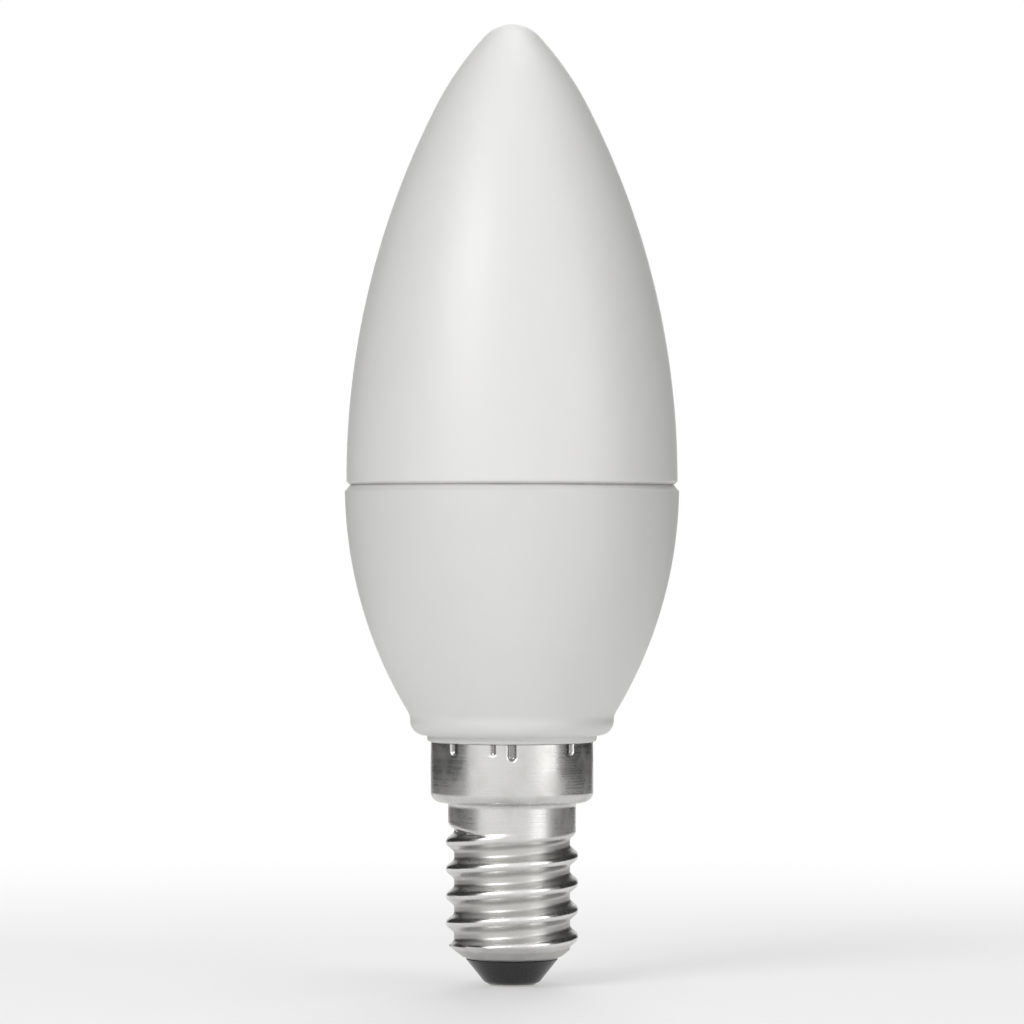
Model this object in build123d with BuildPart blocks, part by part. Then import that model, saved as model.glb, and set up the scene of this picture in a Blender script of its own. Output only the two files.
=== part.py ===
from build123d import *
import math
import os

# Candle lamp with a small screw cap, upright on its contact, in millimetres.
# The axis is Z, the origin is the middle of the contact's outer face and the front looks along -Y.
# Heights build up from the contact: insulator, screw shell, skirt, housing, diffuser.

# Fits
fit_gap = 0.05
overcut = 0.5

# Centre contact and insulator
contact_radius = 2.4
contact_thickness = 0.6
contact_edge = 0.15
contact_proud = 0.2
shank_radius = 0.8
shank_end = 0.6
nose_height = 2.58
nose_end_radius = 2.75
nose_end_edge = 0.25
insulator_depth = 2.0

# Rolled sheet cap: lip, taper, thread, neck and skirt
sheet_thickness = 0.3
lip_radius = 4.82
lip_width = 0.45
taper_height = 0.97
thread_crest_radius = 6.93
thread_depth = 0.87
thread_pitch = 2.822
thread_length = 11.8
thread_lead_in = 0.486
thread_flank_angle = 50.0
thread_crest_round = 0.55
crest_flats = 3
neck_step = 0.25
neck_flare = 0.9
neck_length = 3.65
neck_fold = 0.4
skirt_radius = 8.5
skirt_height = 6.35
skirt_corner = 1.05

# Crimp marks in the skirt's rim
crimp_count = 8
crimp_nose = 0.65
crimp_depth = 0.3
crimp_long = 1.9
crimp_short = 1.4
stake_angle = 256.4
stake_nose = 0.3
stake_depth = 0.2
stake_length = 1.3

# Housing
body_radius = 17.5
body_height = 26.2
body_wall = 1.5
rim_bevel_height = 0.7
rim_bevel_width = 0.55
foot_radius = 10.65
foot_land = 0.55
foot_corner = 1.5
foot_blend = 1.5
ring_height = 0.65
ring_overhang = 0.37
ring_edge = 0.15
neck_wall = 1.55
mouth_wall = 1.5
slot_depth = 0.5

# Diffuser
dome_height = 48.1
dome_step = 0.17
dome_land = 0.6
dome_wall = 1.2
dome_edge = 0.3
shoulder_radius = 33.0
tip_radius = 3.87
tip_angle = 47.4
spigot_depth = 3.6
snap_height = 1.2
snap_reach = 0.25
snap_drop = 2.0

# Heat spreader and light board
spreader_plate = 1.0
spreader_wall = 0.8
spreader_depth = 10.0
light_board_gap = 1.15
light_board_thickness = 1.2
led_count = 8
led_inset = 4.0
led_length = 3.5
led_width = 2.8
led_height = 0.7
led_frame = 0.3
led_recess = 0.1

# Driver board and the pieces on it
driver_thickness = 1.0
driver_tail_width = 9.2
driver_tail_rise = 6.2
driver_headroom = 4.6
driver_side_gap = 0.4
capacitor_radius = 3.15
capacitor_length = 11.0
capacitor_rise = 2.0
capacitor_groove = 0.35
capacitor_edge = 0.4
lead_size = 0.5
lead_spacing = 2.5
lead_run = 0.9
choke_radius = 3.0
choke_length = 6.0
choke_flange = 0.9
choke_hub_radius = 1.4
winding_radius = 2.7
rectifier_size = 4.6
rectifier_width = 3.8
rectifier_height = 2.4
rectifier_rise = 3.5
rectifier_lead_count = 2
chip_size = 4.9
chip_width = 3.7
chip_height = 1.5
chip_drop = 3.3
chip_lead_count = 4
package_draft = 4.0
gull_width = 0.45
gull_thickness = 0.2
gull_reach = 0.8
resistor_radius = 1.5
resistor_length = 7.0
resistor_offset = 2.1
resistor_rise = 2.8
resistor_edge = 0.5

# Pins and wires
pin_size = 0.6
pin_tip = 0.12
pin_spacing = 8.4
pin_grip = 2.5
pin_proud = 0.8
pin_hole_radius = 1.0
wire_radius = 0.35
wire_space = 2.0
wire_grip = 3.5
wire_drop = 1.75
live_wire_offset = -1.6
neutral_wire_offset = -1.1

# Heights of the cap
nose_z = contact_proud
lip_z = nose_z + nose_height
taper_z = lip_z + taper_height
neck_z = taper_z + thread_length
shoulder_z = neck_z + neck_length
cap_rim_z = shoulder_z + skirt_height
insulator_top_z = lip_z + insulator_depth
shank_top_z = insulator_top_z + shank_end

# Heights of the housing, the diffuser and the boards
foot_z = cap_rim_z + ring_height
floor_z = foot_z + body_wall
seam_z = foot_z + body_height
tip_z = seam_z + dome_height
neck_end_z = shoulder_z + sheet_thickness + wire_space
spreader_top_z = seam_z - spigot_depth - fit_gap
plate_z = spreader_top_z - spreader_plate
light_board_top_z = spreader_top_z + light_board_thickness
driver_top_z = plate_z - driver_headroom
driver_bottom_z = insulator_top_z + driver_tail_rise

# Slopes and radii of the cap and of the neck in it
thread_root_radius = thread_crest_radius - thread_depth
shell_neck_radius = thread_crest_radius - neck_step
lip_hole = lip_radius - lip_width
taper_slope = (thread_root_radius - lip_radius) / taper_height
thread_start_z = lip_z - thread_lead_in
last_whole_turn = int((neck_z - thread_pitch / 2 - thread_start_z) / thread_pitch)
thread_turns = (neck_z + neck_flare + thread_pitch / 2 - thread_start_z) / thread_pitch
plug_radius = skirt_radius - sheet_thickness - fit_gap
crimp_groove_radius = plug_radius - crimp_depth
neck_bore_radius = plug_radius - neck_wall
slot_radius = neck_bore_radius + slot_depth
wire_track = skirt_radius - sheet_thickness - stake_depth - wire_radius - fit_gap

# The housing's side is one arc, upright at the seam, that ends at the top of the foot's land.
land_top_z = foot_z + foot_corner + foot_land
side_drop = seam_z - land_top_z
side_draw_in = body_radius - foot_radius
side_radius = (side_drop**2 + side_draw_in**2) / (2 * side_draw_in)
side_centre = body_radius - side_radius
mouth_radius = body_radius - mouth_wall
floor_radius = side_centre + math.sqrt((side_radius - body_wall) ** 2 - (seam_z - floor_z) ** 2)

# The diffuser's outline is three arcs that run into each other: flank, shoulder and tip.
dome_radius = body_radius - dome_step
spigot_radius = mouth_radius - fit_gap
flank_z = seam_z + dome_land
tip_centre_z = tip_z - tip_radius
shoulder_centre_r = -(shoulder_radius - tip_radius) * math.sin(math.radians(tip_angle))
shoulder_centre_z = tip_centre_z - (shoulder_radius - tip_radius) * math.cos(math.radians(tip_angle))
flank_run = shoulder_centre_r - dome_radius
flank_rise = shoulder_centre_z - flank_z
flank_radius = (shoulder_radius**2 - flank_run**2 - flank_rise**2) / (2 * (flank_run + shoulder_radius))
flank_centre_r = dome_radius - flank_radius
flank_turn = math.degrees(math.atan2(flank_rise, shoulder_centre_r - flank_centre_r))

# The light board stands free inside the diffuser's spigot, with its packages in a ring near its edge.
spigot_bore = spigot_radius - dome_wall
light_board_radius = spigot_bore - light_board_gap
led_ring_radius = light_board_radius - led_inset

# Faces of the upright driver board, the pins on its back and the heights of the pieces on its front
board_back = driver_thickness / 2
board_front = -driver_thickness / 2
pin_y = board_back + pin_size / 2
rectifier_z = floor_z + rectifier_rise
rectifier_top_z = rectifier_z + rectifier_width / 2 + gull_reach
choke_z = (rectifier_top_z + driver_top_z) / 2


def side_arc(radius, start_z, end_z):
    """Arc about the centre of the housing's side, from one height to another."""
    start = math.degrees(math.asin((start_z - seam_z) / radius))
    end = math.degrees(math.asin((end_z - seam_z) / radius))
    return CenterArc((side_centre, seam_z), radius, start, end - start)


def dome_arcs(inset, start_z):
    """Flank, shoulder and tip arcs of the diffuser, moved inwards; gives their two ends."""
    flank_start = math.degrees(math.asin((start_z - flank_z) / (flank_radius - inset)))
    tip_start = 90 - tip_angle
    flank_sweep = flank_turn - flank_start
    flank = CenterArc((flank_centre_r, flank_z), flank_radius - inset, flank_start, flank_sweep)
    shoulder_centre = (shoulder_centre_r, shoulder_centre_z)
    CenterArc(shoulder_centre, shoulder_radius - inset, flank_turn, tip_start - flank_turn)
    tip = CenterArc((0, tip_centre_z), tip_radius - inset, tip_start, tip_angle)
    return flank @ 0, tip @ 1


def thread_run(inset, first_turn, last_turn):
    """Ridge of the screw thread over some turns, moved inwards: flats round the crest, then two flanks."""
    crest_centre = thread_crest_radius - thread_crest_round
    crest_round = thread_crest_round - inset
    flank = math.radians(thread_flank_angle)
    sunk = thread_root_radius - inset - sheet_thickness
    foot = (crest_round + (crest_centre - sunk) * math.cos(flank)) / math.sin(flank)
    start_z = thread_start_z + first_turn * thread_pitch
    flat_turn = 2 * flank / (crest_flats + 1)
    corner_reach = crest_round / math.cos(flat_turn / 2)
    corners = []
    for corner in range(crest_flats + 1):
        turn = (corner + 0.5) * flat_turn - flank
        corner_r = crest_centre + corner_reach * math.cos(turn)
        corners.append((corner_r, start_z + corner_reach * math.sin(turn)))
    with BuildPart() as run:
        with BuildLine(mode=Mode.PRIVATE) as climb:
            rise = (last_turn - first_turn) * thread_pitch
            Helix(thread_pitch, rise, thread_root_radius, center=(0, 0, start_z))
        with BuildSketch(Plane.XZ):
            with BuildLine():
                Polyline(*corners, (sunk, start_z + foot), (sunk, start_z - foot), close=True)
            make_face()
        sweep(path=climb.wire(), is_frenet=True)
    return run.part


def thread_ridge(inset):
    """Whole ridge in three runs; a spindle trims the first at the taper and the last below the neck."""
    lip = lip_radius - inset * math.hypot(1, taper_slope) + inset * taper_slope
    clear = thread_crest_radius + overcut
    top_z = neck_z + shell_neck_radius - inset * math.sqrt(2)
    with BuildPart() as spindle:
        with BuildSketch(Plane.XZ):
            with BuildLine():
                Polyline((0, lip_z + inset), (lip, lip_z + inset),
                         (clear, lip_z + inset + (clear - lip) / taper_slope), (clear, top_z - clear),
                         (0, top_z), close=True)
            make_face()
        revolve(axis=Axis.Z)
    lower_run = thread_run(inset, 0, 1) & spindle.part
    middle_run = thread_run(inset, 1, last_whole_turn)
    upper_run = thread_run(inset, last_whole_turn, thread_turns) & spindle.part
    return [lower_run, middle_run, upper_run]


def crimp_punch(nose, depth, length, growth):
    """Pointed round punch at the skirt's front that dents its rim, grown all round."""
    radius = nose + growth
    with BuildPart() as punch:
        with Locations((0, depth - skirt_radius - nose, cap_rim_z - length + depth)):
            Cylinder(radius, length, align=(Align.CENTER, Align.CENTER, Align.MIN))
            Cone(0, radius, radius, align=(Align.CENTER, Align.CENTER, Align.MAX))
    return punch.part


def crimp_punches(growth):
    """All punches of the crimp: long and short ones in turn round the rim, and the stake for the wire."""
    with BuildPart() as punches:
        with PolarLocations(0, crimp_count // 2):
            add(crimp_punch(crimp_nose, crimp_depth, crimp_long, growth))
        with PolarLocations(0, crimp_count // 2, 360 / crimp_count):
            add(crimp_punch(crimp_nose, crimp_depth, crimp_short, growth))
        with PolarLocations(0, 1, stake_angle - 270):
            add(crimp_punch(stake_nose, stake_depth, stake_length, growth))
    return punches.part


def cap_form(inset, top_z):
    """Solid form of the cap, moved inwards: taper, thread, flared neck, shoulder, skirt and crimps."""
    lip = lip_radius - inset * math.hypot(1, taper_slope) + inset * taper_slope
    root = thread_root_radius - inset
    neck = shell_neck_radius - inset
    skirt = skirt_radius - inset
    base_z = shoulder_z + inset
    ridge = thread_ridge(inset)
    punches = crimp_punches(inset)
    with BuildPart() as form:
        with BuildSketch(Plane.XZ) as outline:
            with BuildLine():
                Polyline((0, lip_z + inset), (lip, lip_z + inset),
                         (root, lip_z + inset + (root - lip) / taper_slope), (root, neck_z),
                         (neck, neck_z + neck_flare), (neck, base_z), (skirt, base_z), (skirt, top_z),
                         (0, top_z), close=True)
            make_face()
            skirt_edge = outline.vertices().sort_by_distance((skirt, base_z))[0]
            if inset:
                chamfer(skirt_edge, skirt_corner - inset)
            else:
                fillet(skirt_edge, skirt_corner)
                chamfer(outline.vertices().sort_by_distance((neck, base_z))[0], neck_fold)
        revolve(axis=Axis.Z)
        add(ridge)
        add(punches, mode=Mode.SUBTRACT)
    return form.part


def bent_wire(*points):
    """Round insulated wire along straight runs."""
    with BuildPart() as wire:
        with BuildLine() as route:
            Polyline(*points)
        with BuildSketch(Plane(route.wire() @ 0, z_dir=route.wire() % 0)):
            Circle(wire_radius)
        sweep(path=route.wire(), transition=Transition.RIGHT)
    return wire.part


def bent_lead(x, y, from_z, to_z):
    """Square lead that leaves a piece along the board and turns into the board's back."""
    with BuildPart() as lead:
        with BuildLine() as route:
            Polyline((x, y, from_z), (x, y, to_z), (x, board_back, to_z))
        with BuildSketch(Plane((x, y, from_z), z_dir=(0, 0, to_z - from_z))):
            Rectangle(lead_size, lead_size)
        sweep(path=route.wire(), transition=Transition.RIGHT)
    return lead.part


def gull_package(centre_z, size, width, height, leads):
    """Moulded package on the driver board's front, with bent leads along its top and bottom."""
    with BuildPart() as package:
        with BuildSketch(Plane.XZ.offset(gull_thickness - board_front)):
            with Locations((0, centre_z)):
                Rectangle(size, width)
        extrude(amount=height - gull_thickness, taper=package_draft)
        middle = board_front - height / 2
        for side in (1, -1):
            root = centre_z + side * (width / 2 - gull_reach)
            bend = centre_z + side * (width / 2 + gull_reach / 2)
            tip = centre_z + side * (width / 2 + gull_reach)
            with BuildSketch(Plane.YZ) as lead_side:
                with BuildLine():
                    Polyline((middle, root), (middle, bend), (board_front, bend), (board_front, tip),
                             (board_front - gull_thickness, tip),
                             (board_front - gull_thickness, bend + side * gull_thickness),
                             (middle - gull_thickness, bend + side * gull_thickness),
                             (middle - gull_thickness, root), close=True)
                make_face()
            with Locations(*[(size * ((lead + 0.5) / leads - 0.5), 0, 0) for lead in range(leads)]):
                add(extrude(lead_side.sketch, amount=gull_width / 2, both=True, mode=Mode.PRIVATE))
    return package.part


os.makedirs("parts", exist_ok=True)

# Centre contact: a round head, slightly proud of the insulator, with its shank through it
with BuildPart() as centre_contact:
    with BuildSketch(Plane.XZ):
        with BuildLine():
            Polyline((0, 0), (contact_radius, 0), (contact_radius, contact_thickness),
                     (shank_radius, contact_thickness), (shank_radius, shank_top_z), (0, shank_top_z),
                     close=True)
        make_face()
    revolve(axis=Axis.Z)
    chamfer(centre_contact.faces().sort_by(Axis.Z)[0].edges(), contact_edge)
centre_contact.part.label = "centre_contact"
export_step(centre_contact.part, "parts/centre_contact.step")

# Insulator: a tapered nose under the lip, a waist through it and a plug inside the shell's taper
shank_hole = shank_radius + fit_gap
waist = lip_hole - fit_gap
plug_base_z = lip_z + sheet_thickness
plug_gap = sheet_thickness + fit_gap
plug_base = lip_radius - plug_gap * math.hypot(1, taper_slope) + sheet_thickness * taper_slope
plug_top = thread_root_radius - plug_gap
with BuildPart() as cap_insulator:
    with BuildSketch(Plane.XZ) as insulator_profile:
        with BuildLine():
            Polyline((shank_hole, contact_thickness), (contact_radius + fit_gap, contact_thickness),
                     (contact_radius + fit_gap, nose_z), (nose_end_radius, nose_z), (lip_radius, lip_z),
                     (waist, lip_z), (waist, plug_base_z), (plug_base, plug_base_z),
                     (plug_top, plug_base_z + (plug_top - plug_base) / taper_slope),
                     (plug_top, insulator_top_z), (shank_hole, insulator_top_z), close=True)
        make_face()
        chamfer(insulator_profile.vertices().sort_by_distance((nose_end_radius, nose_z))[0], nose_end_edge)
    revolve(axis=Axis.Z)
cap_insulator.part.label = "cap_insulator"
export_step(cap_insulator.part, "parts/cap_insulator.step")

# Cap shell: the rolled form less the same form moved in by the sheet, open at the lip and at the rim
cap_outside = cap_form(0, cap_rim_z)
cap_inside = cap_form(sheet_thickness, cap_rim_z + overcut)
with BuildPart() as cap_shell:
    add(cap_outside)
    add(cap_inside, mode=Mode.SUBTRACT)
    with BuildSketch(Plane.XY.offset(lip_z)):
        Circle(lip_hole)
    extrude(amount=sheet_thickness, mode=Mode.SUBTRACT)
cap_shell.part.label = "cap_shell"
export_step(cap_shell.part, "parts/cap_shell.step")

# Housing: a curved shell with a bevelled rim, a rounded foot, a seat ring and the neck that the cap grips
snap_z = seam_z - snap_drop
ring_radius = skirt_radius + ring_overhang
crimp_groove_z = cap_rim_z - crimp_long - sheet_thickness - fit_gap
stake_turn = math.radians(stake_angle)
with BuildPart() as housing:
    with BuildSketch(Plane.XZ) as housing_profile:
        with BuildLine():
            side = side_arc(side_radius, seam_z - rim_bevel_height, land_top_z)
            Line(side @ 1, (foot_radius, foot_z + foot_corner))
            corner = CenterArc((foot_radius - foot_corner, foot_z + foot_corner), foot_corner, 0, -90)
            cavity = side_arc(side_radius - body_wall, floor_z, spreader_top_z)
            Polyline(corner @ 1, (ring_radius, foot_z), (ring_radius, cap_rim_z),
                     (crimp_groove_radius, cap_rim_z), (crimp_groove_radius, crimp_groove_z),
                     (plug_radius, crimp_groove_z), (plug_radius, neck_end_z),
                     (neck_bore_radius, neck_end_z), (neck_bore_radius, floor_z), cavity @ 0)
            Polyline(cavity @ 1, (mouth_radius, spreader_top_z), (mouth_radius, snap_z - snap_height / 2),
                     (mouth_radius + snap_reach, snap_z), (mouth_radius, snap_z + snap_height / 2),
                     (mouth_radius, seam_z), (body_radius - rim_bevel_width, seam_z), side @ 0)
        make_face()
        fillet(housing_profile.vertices().sort_by_distance((foot_radius, land_top_z))[0], foot_blend)
        chamfer(housing_profile.vertices().sort_by_distance((ring_radius, cap_rim_z))[0], ring_edge)
    revolve(axis=Axis.Z)
    # Slots for the driver board and a track for the neutral wire
    with BuildSketch(Plane.XY.offset(neck_end_z)):
        Rectangle(2 * slot_radius, driver_thickness + 2 * fit_gap)
    extrude(amount=floor_z - neck_end_z, mode=Mode.SUBTRACT)
    with BuildSketch(Plane((0, 0, neck_end_z), x_dir=(math.cos(stake_turn), math.sin(stake_turn), 0))):
        with Locations((wire_track, 0)):
            SlotCenterToCenter(2 * wire_radius, 2 * (wire_radius + fit_gap))
    extrude(amount=cap_rim_z - neck_end_z, mode=Mode.SUBTRACT)
housing.part.label = "housing"
export_step(housing.part, "parts/housing.step")

# Diffuser: a hollow candle-shaped dome on a spigot that snaps into the housing's mouth
with BuildPart() as diffuser:
    with BuildSketch(Plane.XZ) as diffuser_profile:
        with BuildLine():
            outer_foot, outer_tip = dome_arcs(0, flank_z)
            inner_foot, inner_tip = dome_arcs(dome_wall, flank_z + dome_wall)
            Line(outer_tip, inner_tip)
            Polyline(inner_foot, (spigot_bore, flank_z), (spigot_bore, seam_z - spigot_depth),
                     (spigot_radius, seam_z - spigot_depth), (spigot_radius, snap_z - snap_height / 2),
                     (spigot_radius + snap_reach, snap_z), (spigot_radius, snap_z + snap_height / 2),
                     (spigot_radius, seam_z), (dome_radius, seam_z), outer_foot)
        make_face()
        chamfer(diffuser_profile.vertices().sort_by_distance((dome_radius, seam_z))[0], dome_edge)
    revolve(axis=Axis.Z)
diffuser.part.label = "diffuser"
export_step(diffuser.part, "parts/diffuser.step")

# Heat spreader: an inverted cup that follows the housing's inner wall, with a hole for each pin
spreader_radius = side_radius - body_wall - fit_gap
spreader_end_z = spreader_top_z - spreader_depth
with BuildPart() as heat_spreader:
    with BuildSketch(Plane.XZ):
        with BuildLine():
            outside = side_arc(spreader_radius, spreader_top_z, spreader_end_z)
            inside = side_arc(spreader_radius - spreader_wall, spreader_end_z, plate_z)
            Line(outside @ 1, inside @ 0)
            Polyline(inside @ 1, (0, plate_z), (0, spreader_top_z), outside @ 0)
        make_face()
    revolve(axis=Axis.Z)
    with Locations((0, pin_y, spreader_top_z)):
        with GridLocations(pin_spacing, 0, 2, 1):
            Hole(pin_hole_radius, spreader_plate)
heat_spreader.part.label = "heat_spreader"
export_step(heat_spreader.part, "parts/heat_spreader.step")

# Light board: a disc on the spreader, with a close hole for each pin
with BuildPart() as led_board:
    with BuildSketch(Plane.XY.offset(spreader_top_z)):
        Circle(light_board_radius)
    extrude(amount=light_board_thickness)
    with Locations((0, pin_y, light_board_top_z)):
        with GridLocations(pin_spacing, 0, 2, 1):
            Hole(pin_size / math.sqrt(2) + fit_gap)
led_board.part.label = "led_board"
export_step(led_board.part, "parts/led_board.step")

# Light-emitting packages: a ring of small blocks, each with a shallow window and one clipped corner
for number, spot in enumerate(PolarLocations(led_ring_radius, led_count), start=1):
    seat = Plane(Location((0, 0, light_board_top_z)) * spot)
    with BuildPart() as led:
        with BuildSketch(seat):
            Rectangle(led_width, led_length)
        extrude(amount=led_height)
        across_corner = Axis(seat.origin, seat.x_dir + seat.y_dir)
        chamfer(led.edges().filter_by(Axis.Z).sort_by(across_corner)[-1], led_frame)
        with BuildSketch(seat.offset(led_height)):
            Rectangle(led_width - 2 * led_frame, led_length - 2 * led_frame)
        extrude(amount=-led_recess, mode=Mode.SUBTRACT)
    led.part.label = f"led_{number}"
    export_step(led.part, f"parts/led_{number}.step")

# Driver board: upright in the neck's slots, its shoulders on the housing's floor and its tail in the cap
board_half = floor_radius - driver_side_gap
slot_half = slot_radius - fit_gap
tail_half = driver_tail_width / 2
with BuildPart() as driver_board:
    with BuildSketch(Plane.XZ):
        with BuildLine():
            Polyline((0, driver_bottom_z), (tail_half, driver_bottom_z), (tail_half, neck_end_z),
                     (slot_half, neck_end_z), (slot_half, floor_z), (board_half, floor_z),
                     (board_half, driver_top_z), (0, driver_top_z))
            mirror(about=Plane.YZ)
        make_face()
    extrude(amount=board_back, both=True)
driver_board.part.label = "driver_board"
export_step(driver_board.part, "parts/driver_board.step")

# Link pins: two square pins on the driver board's back, up through the spreader and the light board
for number, side in enumerate((-1, 1), start=1):
    with BuildPart() as link_pin:
        with BuildSketch(Plane.XY.offset(driver_top_z - pin_grip)):
            with Locations((side * pin_spacing / 2, pin_y)):
                Rectangle(pin_size, pin_size)
        extrude(amount=light_board_top_z + pin_proud - driver_top_z + pin_grip)
        chamfer(link_pin.faces().sort_by(Axis.Z)[-1].edges(), pin_tip)
    link_pin.part.label = f"link_pin_{number}"
    export_step(link_pin.part, f"parts/link_pin_{number}.step")

# Smoothing capacitor: a can with a rolled groove, along the board's back, with two bent leads
can_y = board_back + capacitor_radius + fit_gap
can_z = floor_z + capacitor_rise
groove_z = can_z + capacitor_rise
can_leads = [bent_lead(x, can_y, can_z, can_z - lead_run) for x in (-lead_spacing / 2, lead_spacing / 2)]
with BuildPart() as smoothing_capacitor:
    with BuildSketch(Plane((0, can_y, 0), x_dir=(1, 0, 0), z_dir=(0, -1, 0))):
        with BuildLine():
            groove_radius = capacitor_radius - capacitor_groove
            top_z = can_z + capacitor_length
            Polyline((0, can_z), (capacitor_radius - capacitor_edge, can_z),
                     (capacitor_radius, can_z + capacitor_edge),
                     (capacitor_radius, groove_z - capacitor_groove), (groove_radius, groove_z),
                     (capacitor_radius, groove_z + capacitor_groove),
                     (capacitor_radius, top_z - capacitor_edge),
                     (capacitor_radius - capacitor_edge, top_z), (0, top_z), close=True)
        make_face()
    revolve(axis=Axis((0, can_y, 0), (0, 0, 1)))
    add(can_leads)
smoothing_capacitor.part.label = "smoothing_capacitor"
export_step(smoothing_capacitor.part, "parts/smoothing_capacitor.step")

# Choke: a ferrite spool midway between the rectifier and the board's top, and the copper winding on it
choke_seat = Plane((0, board_front, choke_z), x_dir=(1, 0, 0), z_dir=(0, -1, 0))
with BuildPart() as choke_core:
    with BuildSketch(choke_seat):
        Circle(choke_radius)
    extrude(amount=choke_length)
    with BuildSketch(choke_seat.offset(choke_flange)):
        Circle(choke_radius)
        Circle(choke_hub_radius, mode=Mode.SUBTRACT)
    extrude(amount=choke_length - 2 * choke_flange, mode=Mode.SUBTRACT)
choke_core.part.label = "choke_core"
export_step(choke_core.part, "parts/choke_core.step")

with BuildPart() as choke_winding:
    with BuildSketch(choke_seat.offset(choke_flange + fit_gap)):
        Circle(winding_radius)
        Circle(choke_hub_radius + fit_gap, mode=Mode.SUBTRACT)
    extrude(amount=choke_length - 2 * choke_flange - 2 * fit_gap)
choke_winding.part.label = "choke_winding"
export_step(choke_winding.part, "parts/choke_winding.step")

# Bridge rectifier and driver chip: moulded packages on the board's front
rectifier_body = gull_package(rectifier_z, rectifier_size, rectifier_width, rectifier_height,
                              rectifier_lead_count)
with BuildPart() as bridge_rectifier:
    add(rectifier_body)
bridge_rectifier.part.label = "bridge_rectifier"
export_step(bridge_rectifier.part, "parts/bridge_rectifier.step")

chip_body = gull_package(floor_z - chip_drop, chip_size, chip_width, chip_height, chip_lead_count)
with BuildPart() as driver_chip:
    add(chip_body)
driver_chip.part.label = "driver_chip"
export_step(driver_chip.part, "parts/driver_chip.step")

# Fuse resistor: a body with bevelled ends along the board's back, with a bent lead at each end
resistor_y = board_back + resistor_radius + fit_gap
resistor_z = driver_bottom_z + resistor_rise
resistor_top_z = resistor_z + resistor_length
resistor_leads = [bent_lead(resistor_offset, resistor_y, resistor_z, resistor_z - lead_run),
                  bent_lead(resistor_offset, resistor_y, resistor_top_z, resistor_top_z + lead_run)]
with BuildPart() as fuse_resistor:
    with BuildSketch(Plane((resistor_offset, resistor_y, resistor_z))):
        Circle(resistor_radius)
    extrude(amount=resistor_length)
    chamfer(fuse_resistor.edges().filter_by(GeomType.CIRCLE), resistor_edge)
    add(resistor_leads)
fuse_resistor.part.label = "fuse_resistor"
export_step(fuse_resistor.part, "parts/fuse_resistor.step")

# Live wire: down the board's back and over to the contact's shank
live_y = board_back + wire_radius + fit_gap
live_run = bent_wire((live_wire_offset, live_y, driver_bottom_z + wire_grip),
                     (live_wire_offset, live_y, driver_bottom_z - wire_drop),
                     (0, 0, shank_top_z + wire_drop), (0, 0, shank_top_z))
with BuildPart() as live_wire:
    add(live_run)
live_wire.part.label = "live_wire"
export_step(live_wire.part, "parts/live_wire.step")

# Neutral wire: up the board's front, out under the housing's neck and up its track inside the skirt
neutral_y = board_front - wire_radius - fit_gap
turn_z = shoulder_z + sheet_thickness + wire_space / 2
track_x = wire_track * math.cos(stake_turn)
track_y = wire_track * math.sin(stake_turn)
neutral_run = bent_wire((neutral_wire_offset, neutral_y, turn_z - wire_grip),
                        (neutral_wire_offset, neutral_y, turn_z), (track_x, track_y, turn_z),
                        (track_x, track_y, cap_rim_z - wire_radius))
with BuildPart() as neutral_wire:
    add(neutral_run)
neutral_wire.part.label = "neutral_wire"
export_step(neutral_wire.part, "parts/neutral_wire.step")
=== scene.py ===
import math

import bmesh
import bpy
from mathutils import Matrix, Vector


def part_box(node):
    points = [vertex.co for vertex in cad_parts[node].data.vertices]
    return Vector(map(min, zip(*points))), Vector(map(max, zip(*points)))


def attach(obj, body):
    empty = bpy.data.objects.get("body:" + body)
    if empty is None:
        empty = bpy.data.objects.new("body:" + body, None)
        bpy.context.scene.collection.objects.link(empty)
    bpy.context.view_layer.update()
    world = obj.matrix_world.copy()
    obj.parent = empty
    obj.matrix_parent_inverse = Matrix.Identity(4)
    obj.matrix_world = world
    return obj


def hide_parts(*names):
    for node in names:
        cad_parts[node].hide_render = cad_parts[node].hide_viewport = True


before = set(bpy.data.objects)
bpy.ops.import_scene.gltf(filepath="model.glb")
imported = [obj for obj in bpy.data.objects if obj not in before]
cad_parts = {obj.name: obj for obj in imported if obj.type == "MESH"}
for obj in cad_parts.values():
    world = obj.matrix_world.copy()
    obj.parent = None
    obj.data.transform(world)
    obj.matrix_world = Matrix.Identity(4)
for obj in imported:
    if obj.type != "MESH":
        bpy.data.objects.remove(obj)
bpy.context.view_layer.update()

MM = 0.001
FULL_TURN = 2 * math.pi
HALF_TURN = math.pi
QUARTER_TURN = math.pi / 2
WHITE = (1, 1, 1, 1)

# Fits: the shown skin lies just inside the solids, and pieces that meet have a little play
skin = 0.01 * MM
fit_gap = 0.05 * MM
overcut = 0.5 * MM

# Heights and radii that the solids give
_, contact_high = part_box("centre_contact")
nose_low, nose_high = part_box("cap_insulator")
cap_low, cap_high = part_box("cap_shell")
housing_low, housing_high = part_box("housing")
dome_low, dome_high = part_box("diffuser")
nose_z = nose_low.z
lip_z = cap_low.z
rim_z = cap_high.z
seam_z = housing_high.z
tip_z = dome_high.z - skin
contact_radius = contact_high.x
skirt_radius = cap_high.x
body_radius = min(housing_high.x, housing_high.y) - skin

# Contact and insulator
contact_thickness = 0.6 * MM
contact_edge = 0.15 * MM
shank_radius = 0.8 * MM
solder_radius = 1.3 * MM
solder_dip = 0.12 * MM
nose_end_radius = 2.75 * MM
nose_edge = 0.25 * MM

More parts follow.
